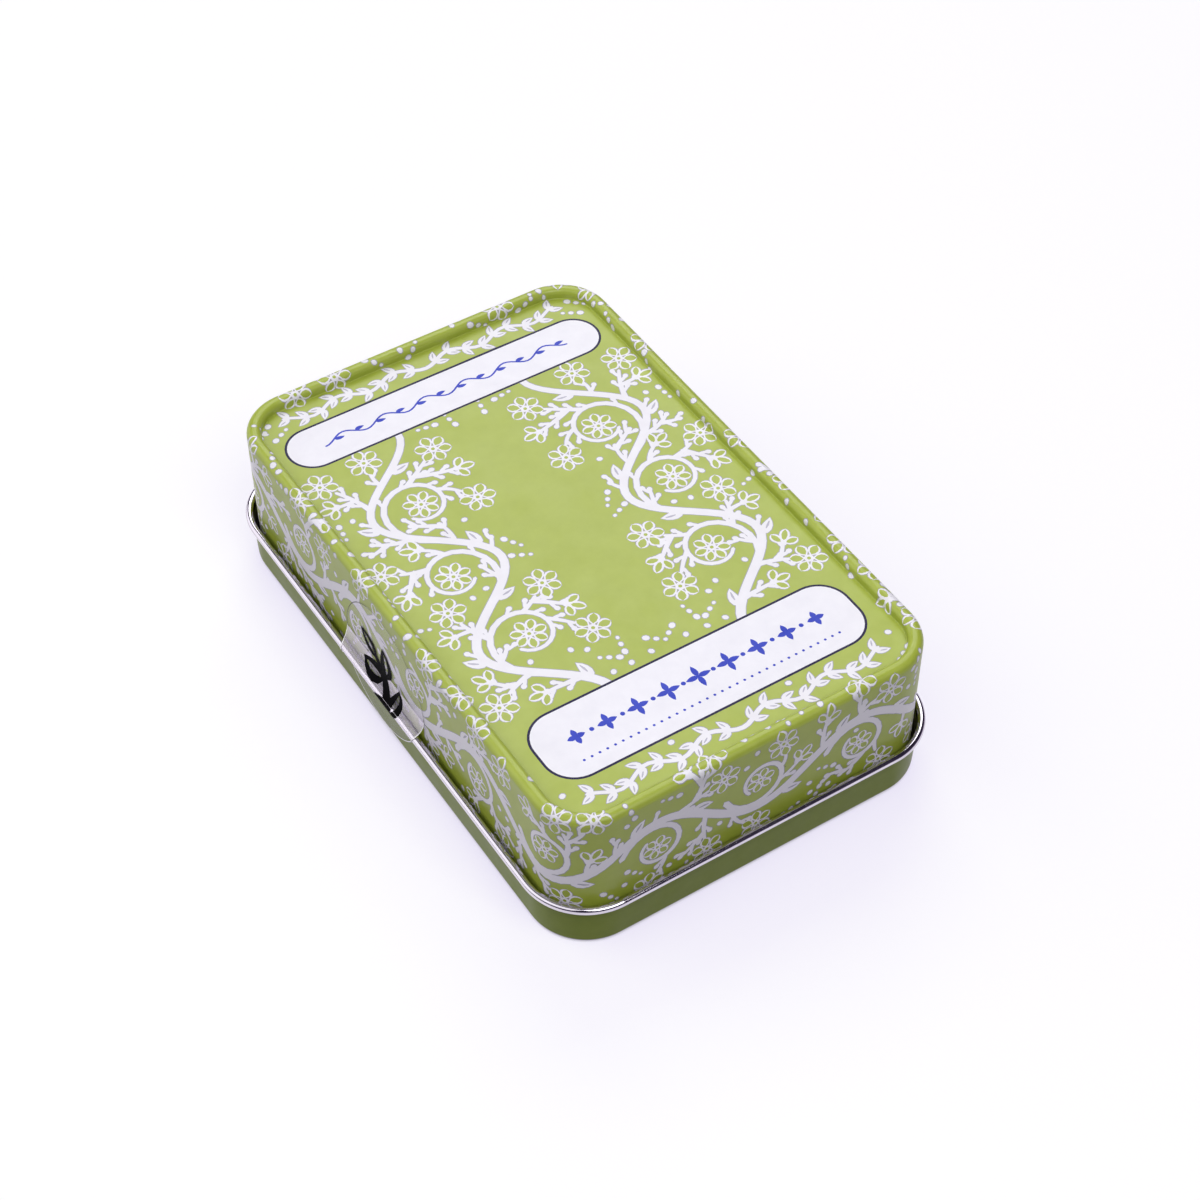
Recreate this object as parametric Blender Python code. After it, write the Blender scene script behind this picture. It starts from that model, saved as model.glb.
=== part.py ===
"""Hinged rectangular trinket tin: a shallow tray with a rolled rim, a deep shell that slips into it and
swings on two curled tongues, and a round film seal that is slit along the rim.

Metres, +Z up. The origin is on the floor under the middle of the tray. X runs along the tin, the seal is
on the -Y side and the hinge on the +Y side.
"""

import math

import bmesh
import bpy
from mathutils import Vector

# Tinplate
SHEET = 0.00025  # thickness of the tinplate
SIDE_GAP = 0.0008  # between the tray's wall and the shell's wall
SEAT_GAP = 0.0003  # under the shell's lower edge
CORNER_STEPS = 8  # facets of a quarter corner

# Tray
TRAY_LENGTH = 0.1102
TRAY_WIDTH = 0.0725
TRAY_HEIGHT = 0.0101  # floor to the top of the rolled rim
TRAY_CORNER_RADIUS = 0.0104
TRAY_DRAFT = 0.0003  # how far the wall leans in at the floor
TRAY_EDGE_RADIUS = 0.0011  # outside radius between floor and wall
RIM_RADIUS = 0.00066  # outside radius of the rolled rim
RIM_TURN = 285  # degrees that the sheet is rolled through

# Shell
TIN_HEIGHT = 0.0292
BEAD_WIDTH = 0.00245  # from the shell's outer wall to the sunk panel's step
BEAD_OUTER_RADIUS = 0.0011  # at the middle of the sheet, as the next two are
BEAD_INNER_RADIUS = 0.00085
PANEL_FILLET = 0.00035
PANEL_DEPTH = 0.00186  # from the top of the bead down to the panel
HEM_RADIUS = 0.0006  # outside radius of the inward roll at the shell's lower edge
HEM_TURN = 285

# Hinge: tongues of the tray's sheet pass through slots in the shell's wall and curl up inside
HINGE_RISE = 0.001  # of the hinge axis above the rim
TONGUE_SPACING = 0.058  # between the middles of the two tongues
TONGUE_WIDTH = 0.009
TONGUE_BEND = 0.00045  # bend radius at the middle of the sheet
TONGUE_REACH = 0.0009  # straight stretch inside the shell's wall, before the curl
TONGUE_TIP = 0.0005  # straight end of the curl
TONGUE_SIDE_GAP = 0.0006  # to the slot's ends
SLOT_HALF_HEIGHT = 0.0021
RIM_NOTCH_GAP = 0.0008  # the rolled rim stops this far short of a tongue
CUT_OVERRUN = 0.001

# Seal: round film over the front gap, slit where it meets the rim
SEAL_DIAMETER = 0.0254
SEAL_FILM = 0.00015
SEAL_GAP = 0.0003  # to the metal behind it, and across the slit
SEAL_MIDDLE_X = -0.0012
SEAL_MIDDLE_Z = 0.0133  # where the film leaves the shell's wall
SEAL_UNDER_RIM = 55  # degrees below level at which the film leaves the rim
SEAL_ARC_STEPS = 6  # facets round the rim
SEAL_EDGE_STEPS = 11  # chords along a quarter of the seal's edge

# Places that follow from the sizes
TRAY_HALF_LENGTH = TRAY_LENGTH / 2
TRAY_HALF_WIDTH = TRAY_WIDTH / 2
RIM_HEIGHT = TRAY_HEIGHT - RIM_RADIUS  # level of the roll's centre
SHELL_INSET = SHEET + SIDE_GAP  # tray's outer face to the shell's outer face
SHELL_HALF_LENGTH = TRAY_HALF_LENGTH - SHELL_INSET
SHELL_HALF_WIDTH = TRAY_HALF_WIDTH - SHELL_INSET
SHELL_CORNER_RADIUS = TRAY_CORNER_RADIUS - SHELL_INSET
SHELL_FOOT = SHEET + SEAT_GAP
HINGE_Y = SHELL_HALF_WIDTH
HINGE_Z = TRAY_HEIGHT + HINGE_RISE

# Paint, film and bare tinplate as linear colours
GREEN_COAT = (0.417, 0.578, 0.129, 1.0)
CLEAR_FILM = (0.80, 0.80, 0.83, 0.35)


def make_material(name, colour, roughness, metallic):
    material = bpy.data.materials.new(name)
    material.use_nodes = True
    shader = material.node_tree.nodes["Principled BSDF"]
    shader.inputs["Base Color"].default_value = colour
    shader.inputs["Roughness"].default_value = roughness
    shader.inputs["Metallic"].default_value = metallic
    shader.inputs["Alpha"].default_value = colour[3]
    material.diffuse_color = colour
    return material


def add_object(name, mesh_source, material):
    mesh = bpy.data.meshes.new(name)
    bmesh.ops.recalc_face_normals(mesh_source, faces=mesh_source.faces)
    mesh_source.to_mesh(mesh)
    mesh_source.free()
    mesh.shade_smooth()
    mesh.set_sharp_from_angle(angle=math.radians(35))
    if material:
        mesh.materials.append(material)
    piece = bpy.data.objects.new(name, mesh)
    bpy.context.collection.objects.link(piece)
    return piece


def columns_around(half_length, half_width, radius, rear_stops):
    """Points of a rounded rectangle with their outward directions, anticlockwise from the middle of the
    +X side. rear_stops are extra places along the straight +Y side, given as x."""
    columns = []
    for corner in range(4):
        sign_x = 1 if corner in (0, 3) else -1
        sign_y = 1 if corner in (0, 1) else -1
        middle = Vector((sign_x * (half_length - radius), sign_y * (half_width - radius)))
        for step in range(CORNER_STEPS + 1):
            angle = math.radians(90) * (corner + step / CORNER_STEPS)
            outward = Vector((math.cos(angle), math.sin(angle)))
            columns.append((middle + radius * outward, outward))
        if corner == 0:
            for x in sorted(rear_stops, reverse=True):
                columns.append((Vector((x, half_width)), Vector((0.0, 1.0))))
    return columns


def trace(start, heading, moves):
    """The middle line of a bent sheet as (point, direction) pairs. start is (outward, up), heading is in
    degrees from outward, and a move is a length ahead or (radius, turn in degrees, facets), left positive."""
    point = Vector(start)
    angle = math.radians(heading)
    line = [(point.copy(), angle)]
    for move in moves:
        if isinstance(move, tuple):
            radius, turn, facets = move
            side = math.copysign(1, turn)
            centre = point + side * radius * Vector((-math.sin(angle), math.cos(angle)))
            for step in range(facets):
                angle += math.radians(turn) / facets
                point = centre + side * radius * Vector((math.sin(angle), -math.cos(angle)))
                line.append((point.copy(), angle))
        else:
            point = point + move * Vector((math.cos(angle), math.sin(angle)))
            line.append((point.copy(), angle))
    return line


def two_faces(line, thickness, outside):
    """The sheet's outer and inner face along a traced line. outside is 1 where the outer face is on the
    right of the heading, and -1 where it is on the left."""
    faces = []
    for point, angle in line:
        across = outside * thickness / 2 * Vector((math.sin(angle), -math.cos(angle)))
        faces.append((point + across, point - across))
    return faces


def ring(mesh_source, columns, spot):
    offset, height = spot
    return [
        mesh_source.verts.new((*(base + offset * outward), height))
        for base, outward in columns
    ]


def bridge(mesh_source, lower, upper, closed):
    count = len(lower)
    for i in range(count if closed else count - 1):
        j = (i + 1) % count
        mesh_source.faces.new((lower[i], lower[j], upper[j], upper[i]))


def sheet_rings(mesh_source, columns, faces):
    """Closed rings of the outer and the inner face, joined along their lengths."""
    outer = [ring(mesh_source, columns, spots[0]) for spots in faces]
    inner = [ring(mesh_source, columns, spots[1]) for spots in faces]
    for rings in (outer, inner):
        for lower, upper in zip(rings, rings[1:]):
            bridge(mesh_source, lower, upper, closed=True)
    mesh_source.faces.new(outer[0])
    mesh_source.faces.new(inner[0])
    return outer[-1], inner[-1]


def sheet_flap(mesh_source, columns, root_outer, root_inner, faces):
    """A stretch of the wall's edge carried on along faces, with its ends and tip closed."""
    outer = [root_outer] + [ring(mesh_source, columns, spots[0]) for spots in faces[1:]]
    inner = [root_inner] + [ring(mesh_source, columns, spots[1]) for spots in faces[1:]]
    for rings in (outer, inner):
        for lower, upper in zip(rings, rings[1:]):
            bridge(mesh_source, lower, upper, closed=False)
    for end in (0, -1):
        for i in range(len(faces) - 1):
            mesh_source.faces.new((outer[i][end], outer[i + 1][end], inner[i + 1][end], inner[i][end]))
    bridge(mesh_source, outer[-1], inner[-1], closed=False)


def make_tray(material):
    half_tongue = TONGUE_WIDTH / 2
    half_notch = half_tongue + RIM_NOTCH_GAP
    middles = (TONGUE_SPACING / 2, -TONGUE_SPACING / 2)
    stops = [m + s * w for m in middles for s in (1, -1) for w in (half_notch, half_tongue)]
    columns = columns_around(TRAY_HALF_LENGTH, TRAY_HALF_WIDTH, TRAY_CORNER_RADIUS, stops)

    # The wall: floor edge, bend, leaning wall up to the level of the roll's centre
    bend = TRAY_EDGE_RADIUS - SHEET / 2
    foot = Vector((-TRAY_DRAFT - TRAY_EDGE_RADIUS, SHEET / 2))
    wall = trace(foot, 0, [(bend, 90, 4)])
    wall.append((Vector((-SHEET / 2, RIM_HEIGHT)), math.radians(90)))
    mesh_source = bmesh.new()
    wall_faces = two_faces(wall, SHEET, 1)
    top_outer, top_inner = sheet_rings(mesh_source, columns, wall_faces)

    # The rim and the two tongues carry the wall's edge on
    rim = trace(wall[-1][0], 90, [(RIM_RADIUS - SHEET / 2, -RIM_TURN, 12)])
    rise = HINGE_Z - TONGUE_BEND - RIM_HEIGHT
    reach = SIDE_GAP + SHEET / 2 + SHEET + TONGUE_REACH - TONGUE_BEND
    tongue = trace(
        wall[-1][0],
        90,
        [rise, (TONGUE_BEND, 90, 4), reach, (TONGUE_BEND, -90, 4), TONGUE_TIP],
    )
    first_stop = CORNER_STEPS + 1
    flaps = [
        (first_stop + 1, first_stop + 2, tongue),
        (first_stop + 3, first_stop + 4, rim),
        (first_stop + 5, first_stop + 6, tongue),
        (first_stop + 7, first_stop + len(columns), rim),
    ]
    count = len(columns)
    for first, last, line in flaps:
        picks = [i % count for i in range(first, last + 1)]
        sheet_flap(
            mesh_source,
            [columns[i] for i in picks],
            [top_outer[i] for i in picks],
            [top_inner[i] for i in picks],
            two_faces(line, SHEET, 1),
        )
    for left in (first_stop, first_stop + 2, first_stop + 4, first_stop + 6):
        right = left + 1
        mesh_source.faces.new((top_outer[left], top_outer[right], top_inner[right], top_inner[left]))
    return add_object("base_tray", mesh_source, material)


def make_slot_cutter(name, middle_x):
    """A box through the shell's rear wall, round the hinge axis."""
    half_width = TONGUE_WIDTH / 2 + TONGUE_SIDE_GAP
    depth = SHEET + CUT_OVERRUN + CUT_OVERRUN
    mesh_source = bmesh.new()
    bmesh.ops.create_cube(mesh_source, size=1.0)
    size = Vector((2 * half_width, depth, 2 * SLOT_HALF_HEIGHT))
    bmesh.ops.scale(mesh_source, vec=size, verts=mesh_source.verts)
    middle = Vector((middle_x, SHELL_HALF_WIDTH - SHEET / 2, HINGE_Z))
    bmesh.ops.translate(mesh_source, vec=middle, verts=mesh_source.verts)
    cutter = add_object(name, mesh_source, None)
    cutter.hide_render = True
    cutter.display_type = "WIRE"
    return cutter


def make_shell(material):
    columns = columns_around(SHELL_HALF_LENGTH, SHELL_HALF_WIDTH, SHELL_CORNER_RADIUS, [])
    crest = BEAD_WIDTH - SHEET - BEAD_INNER_RADIUS - BEAD_OUTER_RADIUS
    step = PANEL_DEPTH - PANEL_FILLET - BEAD_INNER_RADIUS
    panel_edge = Vector(
        (SHEET / 2 - BEAD_WIDTH - PANEL_FILLET, TIN_HEIGHT - PANEL_DEPTH - SHEET / 2)
    )
    wall = TIN_HEIGHT - SHEET / 2 - BEAD_OUTER_RADIUS - SHELL_FOOT - HEM_RADIUS
    line = trace(
        panel_edge,
        0,
        [
            (PANEL_FILLET, 90, 3),
            step,
            (BEAD_INNER_RADIUS, -90, 4),
            crest,
            (BEAD_OUTER_RADIUS, -90, 5),
            wall,
            (HEM_RADIUS - SHEET / 2, -HEM_TURN, 12),
        ],
    )
    mesh_source = bmesh.new()
    tip_outer, tip_inner = sheet_rings(mesh_source, columns, two_faces(line, SHEET, -1))
    bridge(mesh_source, tip_outer, tip_inner, closed=True)
    shell = add_object("lid_shell", mesh_source, material)
    cutters = [
        make_slot_cutter("slot_cutter_right", TONGUE_SPACING / 2),
        make_slot_cutter("slot_cutter_left", -TONGUE_SPACING / 2),
    ]
    for cutter in cutters:
        cut = shell.modifiers.new(cutter.name, "BOOLEAN")
        cut.operation = "DIFFERENCE"
        cut.solver = "EXACT"
        cut.object = cutter
    return shell, cutters


def seal_line():
    """The film's middle line from its top edge down, as (distance along the film from the seal's middle,
    point as (outward from the shell's wall, up)), and the distance at which it meets the rim."""
    off = SEAL_GAP + SEAL_FILM / 2
    radius = SEAL_DIAMETER / 2
    leaves_wall = Vector((off, SEAL_MIDDLE_Z))
    rim_centre = Vector((SIDE_GAP + RIM_RADIUS, RIM_HEIGHT))
    round_rim = RIM_RADIUS + off

    # The straight run from the shell's wall touches the circle round the rim
    across = rim_centre - leaves_wall
    lean = math.atan2(across.x, -across.y) + math.asin(round_rim / across.length)
    run = math.sqrt(across.length**2 - round_rim**2)
    under = math.radians(SEAL_UNDER_RIM)
    outward_to_wall = rim_centre.x + round_rim * math.cos(under) - (SIDE_GAP + SHEET + off)
    tuck = outward_to_wall / math.sin(under)
    turns = (math.degrees(lean), -math.degrees(lean) - SEAL_UNDER_RIM, SEAL_UNDER_RIM)
    moves = [radius, (0.0, turns[0], 1), run, (round_rim, turns[1], SEAL_ARC_STEPS)]
    moves += [tuck, (0.0, turns[2], 1), radius]
    line = trace(leaves_wall + Vector((0.0, radius)), -90, moves)

    placed = [(-radius, line[0][0])]
    for point, _ in line[1:]:
        length = (point - placed[-1][1]).length
        if length > 0:
            placed.append((placed[-1][0] + length, point))
    return placed, run


def seal_rows(placed, start, end):
    """Rows of the film between two distances along it, each as (half width, point, unit direction)."""
    radius = SEAL_DIAMETER / 2
    quarter = [math.radians(90) * (i + 1) / SEAL_EDGE_STEPS for i in range(SEAL_EDGE_STEPS)]
    stations = [-radius * math.cos(a) for a in quarter] + [radius * math.cos(a) for a in quarter]
    stations += [start, end] + [along for along, _ in placed]
    picked = []
    for along in sorted(stations):
        if start <= along <= end and abs(along) < radius and (not picked or along - picked[-1] > SEAL_FILM):
            picked.append(along)
    rows = []
    for along in picked:
        before = max((p for p in placed if p[0] <= along), key=lambda p: p[0])
        after = min((p for p in placed if p[0] > along), key=lambda p: p[0])
        ahead = (after[1] - before[1]).normalized()
        point = before[1] + (along - before[0]) * ahead
        rows.append((math.sqrt(radius**2 - along**2), point, ahead))
    return rows


def make_seal_half(name, placed, start, end, material):
    mesh_source = bmesh.new()
    loops = []
    for half_width, point, ahead in seal_rows(placed, start, end):
        across = SEAL_FILM / 2 * Vector((ahead.y, -ahead.x))
        corners = []
        for side, face in ((-1, -1), (1, -1), (1, 1), (-1, 1)):
            spot = point + face * across
            x = SEAL_MIDDLE_X + side * half_width
            corners.append(mesh_source.verts.new((x, -SHELL_HALF_WIDTH - spot.x, spot.y)))
        loops.append(corners)
    for lower, upper in zip(loops, loops[1:]):
        bridge(mesh_source, lower, upper, closed=True)
    mesh_source.faces.new(loops[0])
    mesh_source.faces.new(loops[-1])
    return add_object(name, mesh_source, material)


def make_seal(material):
    placed, run = seal_line()
    radius = SEAL_DIAMETER / 2
    upper = make_seal_half("seal_upper_half", placed, -radius, run - SEAL_GAP / 2, material)
    lower = make_seal_half("seal_lower_half", placed, run + SEAL_GAP / 2, radius, material)
    return upper, lower


def hang_on_hinge(pieces):
    """An empty on the hinge axis carries the moving pieces."""
    axis = bpy.data.objects.new("hinge_axis", None)
    axis.location = (0.0, HINGE_Y, HINGE_Z)
    bpy.context.collection.objects.link(axis)
    for piece in pieces:
        piece.parent = axis
        piece.location = -axis.location


def main():
    for old in list(bpy.data.objects):
        bpy.data.objects.remove(old, do_unlink=True)
    coat = make_material("coated_tinplate", GREEN_COAT, 0.45, 0.0)
    film = make_material("clear_film", CLEAR_FILM, 0.15, 0.0)
    make_tray(coat)
    shell, cutters = make_shell(coat)
    seal_upper, _ = make_seal(film)
    hang_on_hinge([shell, seal_upper, *cutters])


main()
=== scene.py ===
import math

import bpy
import numpy as np
from mathutils import Matrix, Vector
from mathutils.bvhtree import BVHTree
from mathutils.geometry import delaunay_2d_cdt


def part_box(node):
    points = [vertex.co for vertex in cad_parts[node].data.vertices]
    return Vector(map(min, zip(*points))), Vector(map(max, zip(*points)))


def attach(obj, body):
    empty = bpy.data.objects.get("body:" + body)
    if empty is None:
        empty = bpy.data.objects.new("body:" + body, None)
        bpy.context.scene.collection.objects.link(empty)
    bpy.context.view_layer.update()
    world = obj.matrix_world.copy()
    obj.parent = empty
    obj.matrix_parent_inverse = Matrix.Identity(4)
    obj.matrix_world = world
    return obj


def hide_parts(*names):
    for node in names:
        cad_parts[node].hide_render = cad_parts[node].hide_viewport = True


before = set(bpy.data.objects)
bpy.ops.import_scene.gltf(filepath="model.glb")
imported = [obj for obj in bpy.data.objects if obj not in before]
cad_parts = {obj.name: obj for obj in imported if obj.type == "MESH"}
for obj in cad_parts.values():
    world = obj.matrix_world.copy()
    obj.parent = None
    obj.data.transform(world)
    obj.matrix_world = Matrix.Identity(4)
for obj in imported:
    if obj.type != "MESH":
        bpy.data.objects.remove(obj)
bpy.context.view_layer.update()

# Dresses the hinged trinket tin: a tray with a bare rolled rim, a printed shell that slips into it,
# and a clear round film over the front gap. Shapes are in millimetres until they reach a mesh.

mm = 0.001

# The photograph's own view

photoView = {
    "frame": 1200,  # pixels across the square picture
    "focal": 2482,  # in those pixels
    "sensor": 36.0,
    "nearest": 0.01,  # metres from the camera where the view begins
    "place": (0.24003, -0.14846, 0.31826),
    "heading": 57.33,  # degrees from +Y towards -X
    "downward": 47.42,
    "roll": -0.07,
}


def standAt(thing, right, up, back, place):
    # puts a camera or lamp at its place, turned to its three directions
    bpy.context.collection.objects.link(thing)
    turn = np.eye(4)
    turn[:3] = np.column_stack((right, up, back, place))
    thing.matrix_world = Matrix(turn.tolist())


def placeCamera():
    # the camera looks along its heading, tipped downward, and is turned about that line by the roll
    data = bpy.data.cameras.new("photoCamera")
    data.sensor_width = photoView["sensor"]
    data.lens = photoView["focal"] / photoView["frame"] * photoView["sensor"]
    data.clip_start = photoView["nearest"]
    camera = bpy.data.objects.new("photoCamera", data)
    around, down, lean = (math.radians(photoView[name]) for name in ("heading", "downward", "roll"))
    away = math.cos(down)
    back = np.array([math.sin(around) * away, -math.cos(around) * away, math.sin(down)])
    right = np.array([math.cos(around), math.sin(around), 0.0])
    up = np.cross(back, right)
    level = right * math.cos(lean) + up * math.sin(lean)
    upright = up * math.cos(lean) - right * math.sin(lean)
    standAt(camera, level, upright, back, photoView["place"])
    bpy.context.scene.camera = camera


placeCamera()
print("camera placed")

# Nodes, colours and patterns


def toLinear(hexText):
    # a written sRGB colour as the linear colour that the shaders take
    parts = np.array([int(hexText[i:i + 2], 16) / 255 for i in (1, 3, 5)])
    linear = np.where(parts <= 0.04045, parts / 12.92, ((parts + 0.055) / 1.055) ** 2.4)
    return (*linear.tolist(), 1.0)


def addNode(tree, kind, settings=None, links=None):
    # one node with its settings and links
    return setNode(tree, tree.nodes.new(kind), settings, links)


def setNode(tree, node, settings=None, links=None):
    # settings go to an attribute or an input, where text is a written colour; links feed inputs
    for name, value in (settings or {}).items():
        if isinstance(name, str) and hasattr(node, name):
            setattr(node, name, value)
        else:
            node.inputs[name].default_value = toLinear(value) if isinstance(value, str) else value
    for name, source in (links or {}).items():
        tree.links.new(source, node.inputs[name])
    return node


def newMaterial(name, kind="ShaderNodeBsdfPrincipled"):
    # a material with its node tree, its shader, and the place on the piece that its patterns read
    material = bpy.data.materials.new(name)
    material.use_nodes = True
    tree = material.node_tree
    tree.nodes.clear()
    shader = addNode(tree, kind)
    addNode(tree, "ShaderNodeOutputMaterial", links={"Surface": shader.outputs[0]})
    return material, tree, shader, addNode(tree, "ShaderNodeTexCoord").outputs["Object"]


def wander(tree, place, size, low=0.0, high=1.0, detail=3.0):
    # a value that wanders from low to high in lumps about size millimetres across; the noise itself seldom
    # leaves 0.3 to 0.7
    settings = {"Scale": 1 / (size * mm), "Detail": detail, "Roughness": 0.55}
    lumps = addNode(tree, "ShaderNodeTexNoise", settings, {"Vector": place}).outputs["Fac"]
    settings = {"From Min": 0.3, "From Max": 0.7, "To Min": low, "To Max": high}
    return addNode(tree, "ShaderNodeMapRange", settings, {"Value": lumps}).outputs["Result"]


def byHeight(tree, place, low, high, start, end):
    # a value that goes from low to high between two heights in millimetres
    height = addNode(tree, "ShaderNodeSeparateXYZ", links={0: place}).outputs["Z"]
    settings = {"From Min": start * mm, "From Max": end * mm, "To Min": low, "To Max": high}
    return addNode(tree, "ShaderNodeMapRange", settings, {"Value": height}).outputs["Result"]


def clouded(tree, place, dark, light, size):
    # two tints that cloud into each other in lumps about size millimetres across
    settings = {"data_type": "RGBA", 6: dark, 7: light}
    return addNode(tree, "ShaderNodeMix", settings, {0: wander(tree, place, size)}).outputs[2]


# Finishes of the two pressings

varnish = {
    "mottle": 2.6,  # mm, the faint clouding of the printed coat
    "smear": 5.0,  # mm, the slow change of its roughness
    "rough": (0.30, 0.40),
    "ripples": ((0.55, 0.0016), (16.0, 0.018)),  # mm across and deep: of the varnish, of the stamped sheet
    "paintedLightHeights": (24.5, 27.0),  # mm, heights between which the lighter tint on the shell's sides, painted light, gives way to the panel's
    "speck": "#4A4A22",
    "speckEvery": 13.0,  # mm
    "speckSize": (0.006, 0.016),  # full and faded, in shares of speckEvery
    "speckCover": 0.75,
}


def printedCoat(name, dark, light, speckled=False, gloss=0.5, paintedWallLight=None):
    # offset-printed and varnished tinplate: a satin film with a slight ripple and a soft clouding;
    # paintedWallLight is a lighter tint below the shell's round bead: painted light on its dimmer sides
    material, tree, shader, place = newMaterial(name)
    tint = clouded(tree, place, dark, light, varnish["mottle"])
    covers = []
    if paintedWallLight:
        # painted light: the lighter tint covers the ink below the bead
        covers.append((paintedWallLight, byHeight(tree, place, 1.0, 0.0, *varnish["paintedLightHeights"])))
    if speckled:
        settings = {"Scale": 1 / (varnish["speckEvery"] * mm), "Randomness": 1.0}
        cells = addNode(tree, "ShaderNodeTexVoronoi", settings, {"Vector": place}).outputs["Distance"]
        full, faded = varnish["speckSize"]
        settings = {"From Min": full, "From Max": faded, "To Min": varnish["speckCover"], "To Max": 0.0}
        speck = addNode(tree, "ShaderNodeMapRange", settings, {"Value": cells})
        covers.append((varnish["speck"], speck.outputs["Result"]))
    for cover, share in covers:
        settings = {"data_type": "RGBA", 7: cover}
        tint = addNode(tree, "ShaderNodeMix", settings, {0: share, 6: tint}).outputs[2]
    feeds = {"Base Color": tint, "Roughness": wander(tree, place, varnish["smear"], *varnish["rough"])}
    below = {}
    for size, depth in varnish["ripples"]:
        settings = {"Scale": 1 / (size * mm), "Detail": 1.0, "Roughness": 0.55}
        below["Height"] = addNode(tree, "ShaderNodeTexNoise", settings, {"Vector": place}).outputs["Fac"]
        ripple = addNode(tree, "ShaderNodeBump", {"Strength": 1.0, "Distance": depth * mm}, below)
        below = {"Normal": ripple.outputs["Normal"]}
    setNode(tree, shader, {"IOR": 1.5, "Specular IOR Level": gloss}, feeds | below)
    return material


rolledTin = {
    "grain": 0.35,  # mm across the rolling lines, coarser than they are so that they show
    "stretch": 0.03,  # the lines run on for many times their width
    "inside": (0.27, 0.34),  # roughness of the flat sheet
    "rim": (0.08, 0.13),  # and of the roll that the press has burnished
    "fade": 0.5,  # mm of height in which the one gives way to the other
    "tints": ("#D0CAD5", "#E0DBE4", 4.0),  # and mm across the lumps in which they cloud
}


def tinnedSteel(name, rimFrom=None):
    # cold-rolled steel with a bright tin skin: a soft mirror with fine lines along the rolling direction.
    # Above rimFrom millimetres it is the burnished roll
    material, tree, shader, place = newMaterial(name)
    settings = {"Scale": (rolledTin["stretch"], 1.0, 1.0)}
    drawn = addNode(tree, "ShaderNodeMapping", settings, {"Vector": place}).outputs[0]
    tint = clouded(tree, drawn, *rolledTin["tints"])
    rough = wander(tree, drawn, rolledTin["grain"], *rolledTin["inside"], 2.0)
    if rimFrom:
        onRim = byHeight(tree, place, 0.0, 1.0, rimFrom - rolledTin["fade"], rimFrom)
        burnished = wander(tree, drawn, rolledTin["grain"], *rolledTin["rim"], 2.0)
        shares = {0: onRim, 2: rough, 3: burnished}
        rough = addNode(tree, "ShaderNodeMix", {"data_type": "FLOAT"}, shares).outputs[0]
    setNode(tree, shader, {"Metallic": 1.0}, {"Base Color": tint, "Roughness": rough})
    return material


finishes = {
    "coat": printedCoat("lithoGreenTinplate", "#A1AF3F", "#A7B545", speckled=True),
    "edge": printedCoat("lithoGreyKeyline", "#9A97A6", "#A5A2B0", gloss=0.2),
    # the white ink is written lighter below the bead: painted light
    "white": printedCoat("lithoWhiteInk", "#E5E2EB", "#E9E7F0", paintedWallLight="#F3EFFB"),
    "vein": printedCoat("lithoPaleVein", "#ABA7BA", "#B6B2C4"),
    "navy": printedCoat("lithoNavyLine", "#170F3A", "#1C1444", gloss=0.2),
    "label": printedCoat("lithoWhiteField", "#E6E4EE", "#EBE9F2"),
    "accent": printedCoat("lithoBlueInk", "#2A3CB8", "#3346C4", gloss=0.2),
    "bare": tinnedSteel("brightTinplate"),
}
trayFinishes = {
    # the tray's green is written darker than the shell's green: painted shade for the shade under the rolled
    # rim
    "coat": printedCoat("shadeDarkenedGreenTinplate", "#7F8D33", "#849238", gloss=0.12),
    "bare": tinnedSteel("burnishedRimTinplate", rimFrom=8.6),
}
# each kind covers those before it, and gap bares the coat again
inkOrder = ["coat", "edge", "white", "gap", "vein", "navy", "label", "accent"]
inkOrder += ["cutEdge", "stuck", "free", "mark", "clear", "hole", "tab"]
print("finishes made")

# Sheets: a flat blank is cut into its finishes, then bent along a profile


def bentLine(start, heading, moves):
    # middle line of a bent sheet: each move is a straight length, or an arc as (radius, turn, facets) with
    # left turns positive. Rows are outward, up, angle and the length of sheet used so far
    rows = [np.array([start[0], start[1], math.radians(heading), 0.0])]
    for move in moves:
        outward, up, angle, used = rows[-1]
        if isinstance(move, tuple):
            radius, turn, facets = move
            side = math.copysign(1.0, turn)
            angles = angle + math.radians(turn) * np.arange(1, facets + 1) / facets
            centre = (outward - side * radius * math.sin(angle), up + side * radius * math.cos(angle))
            x = centre[0] + side * radius * np.sin(angles)
            y = centre[1] - side * radius * np.cos(angles)
            rows.extend(np.c_[x, y, angles, used + radius * np.abs(angles - angle)])
        else:
            end = (outward + move * math.cos(angle), up + move * math.sin(angle))
            rows.append(np.array([*end, angle, used + move]))
    return np.array(rows)


def faceAt(line, used, side, thickness):
    # heading, outward and up of one face of a bent sheet at each length used; side 1 is the face on the
    # left of the profile, -1 the one on its right
    angle, outward, up = (np.interp(used, line[:, 3], line[:, column]) for column in (2, 0, 1))
    return angle, outward - side * thickness / 2 * np.sin(angle), up + side * thickness / 2 * np.cos(angle)


def planOf(halfLength, halfWidth, corner, inset):
    # the flat of a blank: a rounded rectangle, moved in from the one given. Its core's corners are the
    # middles of its arcs
    half = np.array([halfLength, halfWidth]) - inset
    return {"halfWidth": half[1], "corner": corner - inset, "core": half - (corner - inset)}


def layOn(plan, line, points, side, thickness):
    # each point of the blank goes to the nearest point of the flat's core, and from there outward and up
    # along the profile
    core = np.clip(points, -plan["core"], plan["core"])
    away = points - core
    reach = np.hypot(away[:, 0], away[:, 1])
    toward = away / np.maximum(reach, 1e-9)[:, None]
    used = np.maximum(reach - plan["corner"], 0.0)
    angle, outward, up = faceAt(line, used, side, thickness)
    bent = core + (plan["corner"] + outward)[:, None] * toward
    flat = np.where(used[:, None] > 0, bent, points)
    return np.c_[flat, up], side * np.c_[-np.sin(angle)[:, None] * toward, np.cos(angle)]


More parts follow.
